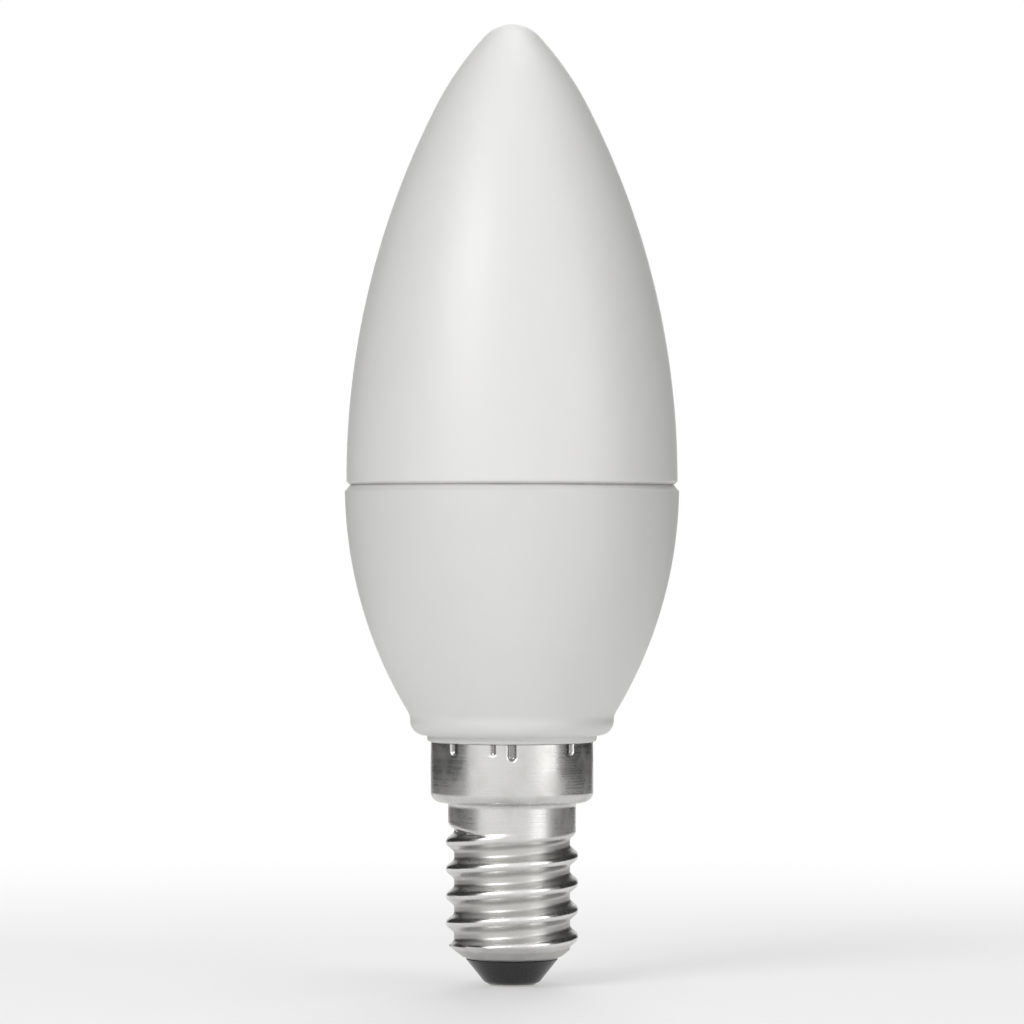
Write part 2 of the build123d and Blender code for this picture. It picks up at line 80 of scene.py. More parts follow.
# Rolled cap
sheet = 0.3 * MM
lip_radius = 4.82 * MM
lip_hole = 4.37 * MM
lip_edge = 0.12 * MM
taper_height = 0.97 * MM
crest_radius = 6.93 * MM
root_radius = 6.06 * MM
taper_slope = (root_radius - lip_radius) / taper_height
taper_spread = math.hypot(1, taper_slope)
thread_pitch = 2.822 * MM
thread_lead_in = 0.486 * MM
crest_round = 0.55 * MM
flank_angle = math.radians(50)
thread_blend = 0.3 * MM
groove_half = 0.46 * MM
groove_drop = 1.92 * MM
neck_radius = 6.68 * MM
neck_z = 18.0 * MM
neck_fold = 0.4 * MM
shoulder_z = 19.2 * MM
skirt_corner = 1.05 * MM
skirt_edge = 0.08 * MM

# Where the thread runs out under the neck, in turns
ridge_sink_start = 4.5
ridge_sink_end = 4.95
groove_end_turn = 5.18
groove_close = 0.35

# Crimp marks; the bed is the share of a mark's half width that is pressed to its full depth
crimp_count = 8
crimp_front = math.radians(270)
crimp_half = 0.62 * MM
crimp_depth = 0.3 * MM
crimp_long = 1.9 * MM
crimp_short = 1.4 * MM
crimp_bed = 0.25
crimp_crowding = 0.45
crimp_foot_z = rim_z - crimp_long - sheet
stake_turn = math.radians(256.4)
stake_half = 0.4 * MM
stake_depth = 0.2 * MM
stake_length = 1.3 * MM

# Housing
body_wall = 1.5 * MM
rim_bevel_height = 0.7 * MM
rim_bevel_width = 0.55 * MM
rim_edge = 0.1 * MM
foot_radius = 10.65 * MM
foot_corner = 1.5 * MM
foot_land = 0.55 * MM
foot_blend = 1.5 * MM
ring_height = 0.65 * MM
ring_overhang = 0.37 * MM
ring_edge = 0.15 * MM
foot_z = rim_z + ring_height
housing_floor_z = foot_z + body_wall
plug_radius = 8.15 * MM
plug_bore = 6.6 * MM
crimp_groove_radius = 7.85 * MM
mouth_radius = 16.0 * MM
slot_depth = 0.5 * MM
driver_thickness = 1.0 * MM
wire_radius = 0.35 * MM

# Diffuser
dome_step = 0.17 * MM
dome_land = 0.6 * MM
dome_wall = 1.2 * MM
dome_edge = 0.3 * MM
shoulder_bend = 33.0 * MM
tip_bend = 3.87 * MM
tip_angle = math.radians(47.4)
snap_drop = 2.0 * MM
snap_height = 1.2 * MM
snap_reach = 0.25 * MM

# Fineness of the meshes
round_segments = 192
insulator_segments = 128
contact_segments = 96
cap_segments = 384
thread_rows = 124
thread_inner_rows = 50
weld_distance = 0.001 * MM
sharp_angle = math.radians(40)


class Value:
    """One output in a node tree; arithmetic on it adds Math nodes."""

    def __init__(self, recipe, socket):
        self.recipe = recipe
        self.socket = socket

    def math(self, operation, *others):
        """Any other operation of a Math node on this value."""
        return self.recipe.math(operation, self, *others)

    def __add__(self, other):
        return self.recipe.math("ADD", self, other)

    def __sub__(self, other):
        return self.recipe.math("SUBTRACT", self, other)

    def __rsub__(self, other):
        return self.recipe.math("SUBTRACT", other, self)

    def __mul__(self, other):
        return self.recipe.math("MULTIPLY", self, other)

    def __truediv__(self, other):
        return self.recipe.math("DIVIDE", self, other)

    def __rtruediv__(self, other):
        return self.recipe.math("DIVIDE", other, self)

    __radd__ = __add__
    __rmul__ = __mul__


class Recipe:
    """A node tree under construction."""

    def __init__(self, tree):
        self.tree = tree

    def node(self, kind, settings=None, sockets=None, output=0):
        """One node: its settings first, then the values or links of its sockets; gives one output."""
        made = self.tree.nodes.new(kind)
        for name, value in (settings or {}).items():
            setattr(made, name, value)
        for key, value in (sockets or {}).items():
            if isinstance(value, Value):
                self.tree.links.new(value.socket, made.inputs[key])
            else:
                made.inputs[key].default_value = value
        return Value(self, made.outputs[output]) if made.outputs else made

    def math(self, operation, *values):
        """One Math node."""
        return self.node("ShaderNodeMath", {"operation": operation}, dict(enumerate(values)))

    def ease(self, value, start, end):
        """0 at start, 1 at end, and smooth between them."""
        return self.node("ShaderNodeMapRange", {"interpolation_type": "SMOOTHSTEP"},
                         {"Value": value, "From Min": start, "From Max": end})

    def parts(self, vector):
        """The three parts of a vector."""
        split = self.node("ShaderNodeSeparateXYZ", sockets={0: vector}).socket.node
        return [Value(self, split.outputs[axis]) for axis in "XYZ"]

    def reach(self, across, along):
        """Distance to a point that lies so far across and so far along."""
        return (across * across + along * along).math("SQRT")


def placed(name, data):
    """A new object of the scene."""
    made = bpy.data.objects.new(name, data)
    bpy.context.scene.collection.objects.link(made)
    return made


# Stretches of an outline, as points of radius and height

def arc(centre, bend, start, end, steps):
    """Points along a round stretch between two angles, with both ends."""
    turns = [start + (end - start) * step / steps for step in range(steps + 1)]
    return [(centre[0] + bend * math.cos(turn), centre[1] + bend * math.sin(turn)) for turn in turns]


def straight(start, end, steps):
    """Points along a straight stretch, with both ends."""
    shares = [step / steps for step in range(steps + 1)]
    return [(start[0] + (end[0] - start[0]) * s, start[1] + (end[1] - start[1]) * s) for s in shares]


# Making a turned piece

def turned_tree(name, sizes, shaping):
    """Geometry Nodes that turn an outline round the axis.

    Where a shaping function is given, it may change the radius and the turn of each point.
    """
    tree = bpy.data.node_groups.new(name, "GeometryNodeTree")
    inputs = [("Outline", "Geometry"), ("Segments", "Int"), ("Rows", "Int"), ("Finish", "Material")]
    inputs += [(size, "Float") for size in sizes]
    for title, kind in inputs:
        tree.interface.new_socket(title, in_out="INPUT", socket_type="NodeSocket" + kind)
    tree.interface.new_socket("Piece", in_out="OUTPUT", socket_type="NodeSocketGeometry")
    recipe = Recipe(tree)
    group = tree.nodes.new("NodeGroupInput")
    given = {socket.name: Value(recipe, socket) for socket in group.outputs if socket.name}

    # A flat grid with one row for each point of the outline and one column for each turn
    grid = recipe.node("GeometryNodeMeshGrid",
                       sockets={"Vertices X": given["Segments"] + 1, "Vertices Y": given["Rows"]})
    index = recipe.node("GeometryNodeInputIndex")
    column = (index / given["Rows"]).math("FLOOR")
    row = index - column * given["Rows"]
    place = recipe.node("GeometryNodeInputPosition")
    point = recipe.node("GeometryNodeSampleIndex", {"data_type": "FLOAT_VECTOR", "domain": "POINT"},
                        {0: given["Outline"], "Value": place, "Index": row})
    radius, _, height = recipe.parts(point)
    turn = column * (FULL_TURN / given["Segments"])
    if shaping:
        radius, turn = shaping(recipe, given, row, radius, turn, height)

    # The grid is bent round the axis and welded where it meets itself
    around = recipe.node("ShaderNodeCombineXYZ", sockets={
        "X": radius * turn.math("COSINE"), "Y": radius * turn.math("SINE"), "Z": height})
    piece = recipe.node("GeometryNodeSetPosition", sockets={"Geometry": grid, "Position": around})
    piece = recipe.node("GeometryNodeMergeByDistance",
                        sockets={"Geometry": piece, "Distance": weld_distance})
    piece = recipe.node("GeometryNodeSetShadeSmooth", sockets={"Geometry": piece})
    piece = recipe.node("GeometryNodeRealizeInstances", sockets={"Geometry": piece})
    piece = recipe.node("GeometryNodeSetMaterial",
                        sockets={"Geometry": piece, "Material": given["Finish"]})
    recipe.node("NodeGroupOutput", sockets={"Piece": piece})
    return tree


def settle(piece):
    """Gives the piece the mesh that its modifiers make, and removes them."""
    before = piece.data
    evaluated = piece.evaluated_get(bpy.context.evaluated_depsgraph_get())
    piece.data = bpy.data.meshes.new_from_object(evaluated)
    piece.modifiers.clear()
    bpy.data.meshes.remove(before)
    piece.data.name = piece.name


def face_outwards(mesh):
    """Turns the faces of a closed mesh outwards."""
    shell = bmesh.new()
    shell.from_mesh(mesh)
    bmesh.ops.recalc_face_normals(shell, faces=shell.faces)
    shell.to_mesh(mesh)
    shell.free()


def cutter(name, outline, low, high):
    """An upright prism on an outline of x and y, to cut with."""
    count = len(outline)
    corners = [(x, y, z) for z in (low, high) for x, y in outline]
    sides = [(i, (i + 1) % count, (i + 1) % count + count, i + count) for i in range(count)]
    mesh = bpy.data.meshes.new(name)
    mesh.from_pydata(corners, [], [range(count - 1, -1, -1), range(count, 2 * count), *sides])
    return placed(name, mesh)


def cut_away(piece, cutters):
    """Takes the cutters out of a piece and deletes them."""
    for prism in cutters:
        cut = piece.modifiers.new(prism.name, "BOOLEAN")
        cut.operation = "DIFFERENCE"
        cut.solver = "EXACT"
        cut.object = prism
    settle(piece)
    for prism in cutters:
        bpy.data.meshes.remove(prism.data)


def turned_piece(name, outline, finish, node, segments=round_segments, sizes=None, shaping=None,
                 cutters=()):
    """A closed piece turned from its outline, in place of a solid of the frame."""
    sizes = sizes or {}
    mesh = bpy.data.meshes.new(name + "_outline")
    mesh.from_pydata([(radius, 0, z) for radius, z in outline], [], [])
    piece = placed(name, mesh)
    turning = piece.modifiers.new("turning", "NODES")
    turning.node_group = turned_tree(name + "_form", sizes, shaping)
    values = {"Segments": segments, "Rows": len(outline), "Finish": finish, **sizes}
    for item in turning.node_group.interface.items_tree:
        if item.in_out == "INPUT" and item.name in values:
            turning[item.identifier] = values[item.name]
    settle(piece)
    face_outwards(piece.data)
    if cutters:
        cut_away(piece, cutters)
    piece.data.set_sharp_from_angle(angle=sharp_angle)
    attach(piece, "root")
    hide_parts(node)


# Shaping of the rolled cap

def roll_cap(recipe, given, row, radius, turn, height):
    """Rolls the thread's ridge into the outline and presses the crimp marks into the rim."""
    # Columns crowd together at the crimps, which are counted from the front
    crimp_step = FULL_TURN / crimp_count
    swing = (turn * crimp_count).math("SINE") * (crimp_crowding / crimp_count)
    from_front = turn - swing
    turn = from_front + crimp_front

    # The inside of the sheet has the outside's form, moved inwards
    inside = 1 - row.math("LESS_THAN", given["Outer Rows"])
    inset = given["Sheet"] * inside

    # Ridge: a round crest between straight flanks, cut by the taper below and sinking into the neck above.
    # Height is counted in turns of the thread, and a crest lies half-way between whole numbers of the phase
    pitch = given["Pitch"]
    blend = given["Thread Blend"]
    crest = given["Crest Radius"]
    bend = given["Crest Round"]
    climb = (height - given["Thread Start"]) / pitch
    around = turn / FULL_TURN
    phase = climb - around + 0.5
    aside = ((phase.math("FRACT") - 0.5) * pitch).math("ABSOLUTE")
    inset_bend = bend - inset
    on_round = aside.math("MINIMUM", inset_bend * math.sin(flank_angle))
    ridge = crest - bend + (inset_bend * inset_bend - on_round * on_round).math("SQRT")
    ridge = ridge - (aside - on_round) * math.tan(flank_angle)
    taper = given["Lip Radius"] + (height - given["Lip Height"]) * given["Taper Slope"]
    taper = taper - inset * given["Taper Spread"]
    ridge_turn = phase.math("FLOOR") + around
    sink = recipe.ease(ridge_turn, given["Sink Start"], given["Sink End"])
    ceiling = crest + blend - (crest + blend * 2 - given["Neck Radius"]) * sink - inset
    ridge = ridge.math("SMOOTH_MIN", taper, blend).math("SMOOTH_MIN", ceiling, blend)

    # Neck: it starts above the last groove, and comes down over the groove's end until it meets the ridge.
    # A groove lies half a turn above a crest
    groove_end = given["Groove End"]
    last_groove = groove_end - (groove_end - 0.5 - around).math("FRACT")
    near_end = ((last_groove - groove_end) / given["Groove Close"] + 1).math("MAXIMUM", 0)
    lowered = near_end * near_end * given["Groove Drop"]
    above = (climb - last_groove) * pitch - given["Groove Half Width"] + lowered
    bank = given["Root Radius"] + above * math.tan(flank_angle) - inset / math.cos(flank_angle)
    bank = bank.math("SMOOTH_MIN", given["Neck Radius"] - inset, blend)
    rolled = radius.math("SMOOTH_MAX", ridge, blend).math("SMOOTH_MAX", bank, blend * 0.5)
    lowest = given["Lip Height"] + blend + (given["Taper Height"] - blend) * inside
    in_thread = height.math("GREATER_THAN", lowest) * height.math("LESS_THAN", given["Neck Height"])
    radius = radius + (rolled - radius) * in_thread

    # Crimps: long and short flutes in turn, open at the rim, and one narrow stake
    crimp_place = from_front / crimp_step
    nearest = crimp_place.math("ROUND")
    odd = nearest.math("MODULO", 2)
    length = given["Crimp Long"] + (given["Crimp Short"] - given["Crimp Long"]) * odd
    along_rim = (crimp_place - nearest) * crimp_step * given["Skirt Radius"]
    radius = radius - flute(recipe, given, along_rim, height, length, "Crimp")
    stake_place = (turn - given["Stake Turn"]) / FULL_TURN
    along_rim = (stake_place - stake_place.math("ROUND")) * FULL_TURN * given["Skirt Radius"]
    radius = radius - flute(recipe, given, along_rim, height, given["Stake Length"], "Stake")
    return radius, turn


def flute(recipe, given, along_rim, height, length, kind):
    """Depth of one round-ended flute that starts at the rim."""
    half = given[kind + " Half Width"]
    below = (given["Rim Height"] - length + half - height).math("MAXIMUM", 0)
    from_middle = recipe.reach(along_rim, below)
    return recipe.ease(from_middle, half, half * crimp_bed) * given[kind + " Depth"]


# Finishes

class Finish(Recipe):
    """A procedural material; what is the same all over is set on the shader itself."""

    # Numbers of a Mix node's colour sockets, because their names repeat
    mix_share = 0
    mix_first = 6
    mix_second = 7
    mix_result = 2

    def __init__(self, name, **constants):
        self.material = bpy.data.materials.new(name)
        self.material.use_nodes = True
        super().__init__(self.material.node_tree)
        self.shader = self.tree.nodes["Principled BSDF"]
        for socket, value in constants.items():
            self.shader.inputs[socket.replace("_", " ")].default_value = value
        self.place = self.node("ShaderNodeTexCoord", output="Object")

    def feed(self, socket, value):
        """Links what changes over the surface to a socket of the shader."""
        self.tree.links.new(value.socket, self.shader.inputs[socket])

    def grain(self, size, detail=3.0, place=None):
        """Noise with features of about the given size."""
        return self.node("ShaderNodeTexNoise", {"noise_dimensions": "3D"},
                         {"Vector": place or self.place, "Scale": 1 / size, "Detail": detail}, output="Fac")

    def tint(self, share, first, second):
        """A colour between two, by a share from 0 to 1."""
        first, second = ((*tone, 1) if isinstance(tone, tuple) else tone for tone in (first, second))
        sockets = {self.mix_share: share, self.mix_first: first, self.mix_second: second}
        return self.node("ShaderNodeMix", {"data_type": "RGBA"}, sockets, output=self.mix_result)

    def relief(self, height, depth):
        """Small unevenness of the surface."""
        bump = self.node("ShaderNodeBump", sockets={"Strength": 1.0, "Distance": depth, "Height": height})
        self.feed("Normal", bump)


def joint_dust_and_shade(finish):
    """Share of grey dust and painted shade in the joint between dome and housing, uneven along it."""
    # Reach of the dust and painted shade from the joint
    dust_and_shade_edge = 0.32 * MM
    dust_and_shade_middle = 0.05 * MM
    patch_size = 3 * MM
    least = 0.35
    spread = 0.4
    _, _, z = finish.parts(finish.place)
    in_joint = finish.ease((z - seam_z).math("ABSOLUTE"), dust_and_shade_edge, dust_and_shade_middle)
    return in_joint * (least + spread * finish.grain(patch_size))


def opal_finish():
    """Opal plastic of the dome: warm white, satin, faintly cloudy."""
    cloudy = (0.90, 0.895, 0.87)
    clear = (0.94, 0.937, 0.92)
    # Tone of the dust and painted shade in the joint with the housing
    dust_and_shade = (0.5, 0.49, 0.46)
    cloud_size = 14 * MM
    sheen_size = 6 * MM
    pore_size = 0.5 * MM
    pore_depth = 0.004 * MM
    finish = Finish("opal_plastic", Subsurface_Weight=0.3, Subsurface_Radius=(1.0, 0.95, 0.85),
                    Subsurface_Scale=1.5 * MM, IOR=1.5)
    opal = finish.tint(finish.grain(cloud_size), cloudy, clear)
    # The joint with the housing is darkened with dust and painted shade
    finish.feed("Base Color", finish.tint(joint_dust_and_shade(finish), opal, dust_and_shade))
    finish.feed("Roughness", 0.36 + 0.1 * finish.grain(sheen_size))
    finish.relief(finish.grain(pore_size, detail=2.0), pore_depth)
    return finish.material


def housing_finish():
    """White moulded plastic of the housing, a little greyer than the dome, with a fine spark texture."""
    greyer = (0.80, 0.80, 0.785)
    whiter = (0.85, 0.85, 0.835)
    # Tone of the dust and painted shade in the joint with the dome
    dust_and_shade = (0.42, 0.415, 0.4)
    patch_size = 9 * MM
    spark_size = 0.25 * MM
    spark_depth = 0.012 * MM
    finish = Finish("housing_plastic", IOR=1.5)
    plastic = finish.tint(finish.grain(patch_size), greyer, whiter)
    # The joint with the dome is darkened with dust and painted shade
    finish.feed("Base Color", finish.tint(joint_dust_and_shade(finish), plastic, dust_and_shade))
    sparks = finish.grain(spark_size, detail=2.0)
    finish.feed("Roughness", 0.42 + 0.12 * sparks)
    finish.relief(sparks, spark_depth)
    return finish.material


def cap_finish():
    """Nickel plate on rolled sheet: lines round the axis, bright worn crests, duller roots with painted
    shade, and painted shade in the crimps.
    """
    nickel = (0.66, 0.655, 0.64)
    tarnished = (0.53, 0.52, 0.495)
    bright = (0.80, 0.795, 0.78)
    # Tones of the painted shade in the thread roots and in the crimp marks
    root_shade_tone = (0.40, 0.39, 0.37)
    crimp_shade_tone = (0.17, 0.165, 0.16)
    line_height = 0.12 * MM
    line_depth = 0.006 * MM
    breaks_round = 0.6
    tarnish_size = 2.2 * MM
    tarnish_from = 0.42
    tarnish_full = 0.72
    worn_depth = 0.22 * MM
    # Reach of the painted shade in the thread roots, and of that in the crimp marks below
    root_shade_height = 0.35 * MM
    crimp_shade_from = 0.03 * MM
    crimp_shade_full = 0.22 * MM
    finish = Finish("cap_nickel", Metallic=1.0)
    x, y, z = finish.parts(finish.place)
    radius = finish.reach(x, y)
    line_place = finish.node("ShaderNodeCombineXYZ", sockets={
        "X": x / radius * breaks_round, "Y": y / radius * breaks_round, "Z": z / line_height})
    lines = finish.grain(1.0, detail=4.0, place=line_place)
    tarnish = finish.ease(finish.grain(tarnish_size, detail=5.0), tarnish_from, tarnish_full)
    in_thread = z.math("LESS_THAN", shoulder_z)
    worn = finish.ease(radius, crest_radius - worn_depth, crest_radius) * in_thread
    # Thread roots: duller, and darker with painted shade
    root_dull_and_shade = finish.ease(radius, root_radius + root_shade_height, root_radius) * in_thread
    # Painted shade in the crimp marks, darker where the sheet is pressed in
    crimp_shade = finish.ease(radius, skirt_radius - crimp_shade_from, skirt_radius - crimp_shade_full)
    crimp_shade = crimp_shade * z.math("GREATER_THAN", crimp_foot_z)
    plate = finish.tint(tarnish * 0.55, nickel, tarnished)
    plate = finish.tint(worn * 0.7, plate, bright)
    plate = finish.tint(root_dull_and_shade * 0.45, plate, root_shade_tone)
    plate = finish.tint(crimp_shade * 0.75, plate, crimp_shade_tone)
    finish.feed("Base Color", plate)
    finish.feed("Roughness", 0.2 + 0.14 * lines + 0.12 * tarnish + 0.1 * root_dull_and_shade - 0.05 * worn)
    finish.relief(lines, line_depth)
    return finish.material


def insulator_finish():
    """Black glossy insulator with a few dull specks."""
    black = (0.016, 0.016, 0.018)
    grey = (0.06, 0.058, 0.055)
    speck_size = 0.3 * MM
    speck_from = 0.6
    speck_full = 0.75
    sheen_size = 1.2 * MM
    wave_size = 0.8 * MM
    wave_depth = 0.01 * MM
    finish = Finish("insulator_black", IOR=1.52)
    specks = finish.ease(finish.grain(speck_size, detail=4.0), speck_from, speck_full)
    finish.feed("Base Color", finish.tint(specks * 0.5, black, grey))
    finish.feed("Roughness", 0.13 + 0.12 * finish.grain(sheen_size) + 0.2 * specks)
    finish.relief(finish.grain(wave_size), wave_depth)
    return finish.material


def contact_finish():
    """Nickel contact with a dab of dull solder in its middle."""
    nickel = (0.72, 0.70, 0.65)
    tin = (0.55, 0.55, 0.56)
    fray_size = 0.7 * MM
    fray_reach = 0.5 * MM
    solder_edge = 0.1 * MM
    scratch_size = 0.2 * MM
    scratch_depth = 0.01 * MM
    finish = Finish("contact_nickel", Metallic=1.0)
    x, y, _ = finish.parts(finish.place)
    frayed = finish.reach(x, y) + (finish.grain(fray_size) - 0.5) * fray_reach
    solder = finish.ease(frayed, solder_radius + solder_edge, solder_radius - solder_edge)
    scratches = finish.grain(scratch_size, detail=5.0)
    finish.feed("Base Color", finish.tint(solder, nickel, tin))
    finish.feed("Roughness", 0.22 + 0.15 * scratches + 0.18 * solder)
    finish.relief(scratches, scratch_depth)
    return finish.material


def inner_finish(name, first, second, grain_size, roughness, metallic):
    """A plain finish for a piece inside: two tones in a grain of the given size."""
    grain_depth = 0.01 * MM
    finish = Finish(name, Metallic=metallic)
    grain = finish.grain(grain_size)
    finish.feed("Base Color", finish.tint(grain, first, second))
    finish.feed("Roughness", roughness + 0.15 * grain)
    finish.relief(grain, grain_depth)
    return finish.material


# Outlines of the shown pieces

def inset_lip(inset):
    """Radius at which the taper, moved inwards, meets the top of the lip's sheet."""
    return lip_radius - inset * taper_spread + sheet * taper_slope


def cap_outline():
    """Closed outline of the rolled sheet, up its outside and down its inside.

    Gives the points, and how many of them are on the outside.
    """
    root_z = lip_z + taper_height
    fold_centre = (neck_radius + neck_fold, shoulder_z - neck_fold)
    corner_centre = (skirt_radius - skirt_corner, shoulder_z + skirt_corner)
    crimp_top_z = rim_z - skirt_edge
    outer = [(lip_hole, lip_z), (lip_radius - lip_edge, lip_z)]
    outer += straight((lip_radius, lip_z + lip_edge), (root_radius, root_z), steps=14)
    outer += straight((root_radius, root_z), (root_radius, neck_z), steps=thread_rows)[1:-1]
    outer += straight((neck_radius, neck_z + sheet), (neck_radius, fold_centre[1]), steps=3)
    outer += arc(fold_centre, neck_fold, HALF_TURN, QUARTER_TURN, steps=6)[1:]
    outer += arc(corner_centre, skirt_corner, -QUARTER_TURN, 0, steps=10)
    outer += straight((skirt_radius, crimp_foot_z), (skirt_radius, crimp_top_z), steps=22)
    inner_skirt = skirt_radius - sheet
    outer += [(skirt_radius - skirt_edge, rim_z), (inner_skirt, rim_z)]

    lip_inside = inset_lip(sheet)
    root_inside = root_radius - sheet
    root_inside_z = lip_z + sheet + (root_inside - lip_inside) / taper_slope
    inner = straight((inner_skirt, crimp_top_z), (inner_skirt, crimp_foot_z), steps=12)
    inner += [(inner_skirt, corner_centre[1]), (corner_centre[0], shoulder_z + sheet)]
    inner += [(neck_radius - sheet, shoulder_z + sheet), (neck_radius - sheet, neck_z)]
    inner += straight((root_inside, neck_z - sheet), (root_inside, root_inside_z), steps=thread_inner_rows)
    inner += [(lip_inside, lip_z + sheet), (lip_hole, lip_z + sheet), (lip_hole, lip_z)]
    return outer + inner, len(outer)


def snap_outline(radius):
    """Points of the snap bead on the spigot, or of its groove in the housing's mouth, from below."""
    snap_z = seam_z - snap_drop
    half = snap_height / 2
    return [(radius, snap_z - half), (radius + snap_reach, snap_z), (radius, snap_z + half)]


def housing_outline():
    """Closed outline of the housing: bevelled rim, one long side arc, foot, seat ring, neck and inside."""
    land_z = foot_z + foot_corner + foot_land
    draw_in = body_radius - foot_radius
    side_bend = ((seam_z - land_z) ** 2 + draw_in**2) / (2 * draw_in)
    side_centre = (body_radius - side_bend, seam_z)
    side_start = math.asin(-rim_bevel_height / side_bend)
    side_end = math.asin((land_z - seam_z) / side_bend)
    # The side runs into the foot's upright land through a small hollow
    hollow_reach = foot_blend * math.tan(-side_end / 2)
    hollow_centre = (foot_radius + foot_blend, land_z - hollow_reach)
    side = arc(side_centre, side_bend, side_start, side_end + hollow_reach / side_bend, steps=60)
    bevel_radius = body_radius - rim_bevel_width
    outer = [(mouth_radius, seam_z), (bevel_radius - rim_edge, seam_z)]
    outer += straight((bevel_radius, seam_z - rim_edge), side[0], steps=4)[:-1] + side
    outer += arc(hollow_centre, foot_blend, HALF_TURN + side_end, HALF_TURN, steps=8)[1:]
    corner_centre = (foot_radius - foot_corner, foot_z + foot_corner)
    outer += arc(corner_centre, foot_corner, 0, -QUARTER_TURN, steps=14)
    ring_radius = skirt_radius + ring_overhang
    outer += [(ring_radius, foot_z), (ring_radius, rim_z + ring_edge), (ring_radius - ring_edge, rim_z)]
    groove_z = crimp_foot_z - fit_gap
    outer += [(crimp_groove_radius, rim_z), (crimp_groove_radius, groove_z)]
    outer += [(plug_radius, groove_z), (plug_radius, housing_low.z)]

    ledge_z = dome_low.z - fit_gap
    cavity_bend = side_bend - body_wall
    cavity_start = math.asin((housing_floor_z - seam_z) / cavity_bend)
    cavity_end = math.asin((ledge_z - seam_z) / cavity_bend)
    inner = [(plug_bore, housing_low.z), (plug_bore, housing_floor_z)]
    inner += arc(side_centre, cavity_bend, cavity_start, cavity_end, steps=24)
    mouth = [(mouth_radius, ledge_z), *snap_outline(mouth_radius), (mouth_radius, seam_z)]
    return outer + inner + mouth


def housing_cutters():
    """Cutters for the housing's neck: two slots that hold the driver board, and the neutral wire's track."""
    slot_x = plug_bore + slot_depth
    slot_y = driver_thickness / 2 + fit_gap
    slots = [(-slot_x, -slot_y), (slot_x, -slot_y), (slot_x, slot_y), (-slot_x, slot_y)]
    wire_out = skirt_radius - sheet - stake_depth - wire_radius - fit_gap
    track_half = wire_radius + fit_gap
    track = arc((wire_out + wire_radius, 0), track_half, -QUARTER_TURN, QUARTER_TURN, steps=8)
    track += arc((wire_out - wire_radius, 0), track_half, QUARTER_TURN, 3 * QUARTER_TURN, steps=8)
    aim_x, aim_y = math.cos(stake_turn), math.sin(stake_turn)
    track = [(out * aim_x - side * aim_y, out * aim_y + side * aim_x) for out, side in track]
    return [cutter("board_slots", slots, housing_low.z - overcut, housing_floor_z + overcut),
            cutter("wire_track", track, housing_low.z - overcut, rim_z - fit_gap)]


def dome_outline():
    """Outline of the diffuser from its tip down the outside, round the spigot and up the inside."""
    # Tip, shoulder and flank are arcs that run into each other, and the flank ends upright
    edge = body_radius - dome_step
    flank_z = seam_z + dome_land
    shoulder_reach = shoulder_bend - tip_bend
    tip_centre = (0.0, tip_z - tip_bend)
    shoulder_centre = (-shoulder_reach * math.sin(tip_angle),
                       tip_centre[1] - shoulder_reach * math.cos(tip_angle))
    run = shoulder_centre[0] - edge
    rise = shoulder_centre[1] - flank_z
    flank_bend = (shoulder_bend**2 - run**2 - rise**2) / (2 * (run + shoulder_bend))
    flank_centre = (edge - flank_bend, flank_z)
    tip_turn = QUARTER_TURN - tip_angle
    flank_turn = math.atan2(rise, shoulder_centre[0] - flank_centre[0])

    def wall(inset, last_turn):
        """The three arcs moved inwards, down to the flank's last turn."""
        tip = arc(tip_centre, tip_bend - inset, QUARTER_TURN, tip_turn, steps=16)
        tip[0] = (0.0, tip[0][1])
        shoulder = arc(shoulder_centre, shoulder_bend - inset, tip_turn, flank_turn, steps=24)
        flank = arc(flank_centre, flank_bend - inset, flank_turn, last_turn, steps=40)
        return tip + shoulder[1:] + flank[1:]

    outside = wall(0.0, 0.0) + [(edge, seam_z + dome_edge), (edge - dome_edge, seam_z)]
    spigot = mouth_radius - fit_gap
    bore = spigot - dome_wall
    spigot_ring = [(spigot, seam_z), *snap_outline(spigot)[::-1], (spigot, dome_low.z)]
    spigot_ring += [(bore, dome_low.z), (bore, flank_z)]
    inside = wall(dome_wall, dome_wall / (flank_bend - dome_wall))
    return outside + spigot_ring + inside[::-1]


def insulator_outline():
    """Closed outline of the insulator: the nose below the lip and its plug inside the cap."""
    shank = shank_radius + fit_gap
    recess = contact_radius + fit_gap
    slope = (lip_radius - nose_end_radius) / (lip_z - nose_z)
    edge_top = (nose_end_radius + nose_edge * slope, nose_z + nose_edge)
    nose = [(shank, contact_thickness), (recess, contact_thickness), (recess, nose_z)]
    nose += [(nose_end_radius - nose_edge, nose_z)]
    nose += straight(edge_top, (lip_radius, lip_z), steps=10)
    waist = lip_hole - fit_gap
    plug_z = lip_z + sheet
    plug_base = inset_lip(sheet + fit_gap)
    plug_top = root_radius - sheet - fit_gap
    plug = [(waist, lip_z), (waist, plug_z), (plug_base, plug_z)]
    plug += [(plug_top, plug_z + (plug_top - plug_base) / taper_slope), (plug_top, nose_high.z)]
    plug += [(shank, nose_high.z), (shank, contact_thickness)]
    return nose + plug


def contact_outline():
    """Outline of the contact: a round head with a soft edge, a shallow dip for the solder, and the shank."""
    dip_steps = 8
    dip = []
    for step in range(dip_steps + 1):
        share = step / dip_steps
        dip += [(solder_radius * share, solder_dip * (0.5 + 0.5 * math.cos(math.pi * share)))]
    edge_centre = (contact_radius - contact_edge, contact_edge)
    edge = arc(edge_centre, contact_edge, -QUARTER_TURN, 0, steps=6)
    head = [(contact_radius, contact_thickness), (shank_radius, contact_thickness)]
    return dip + edge + head + [(shank_radius, contact_high.z), (0.0, contact_high.z)]


# Shown pieces

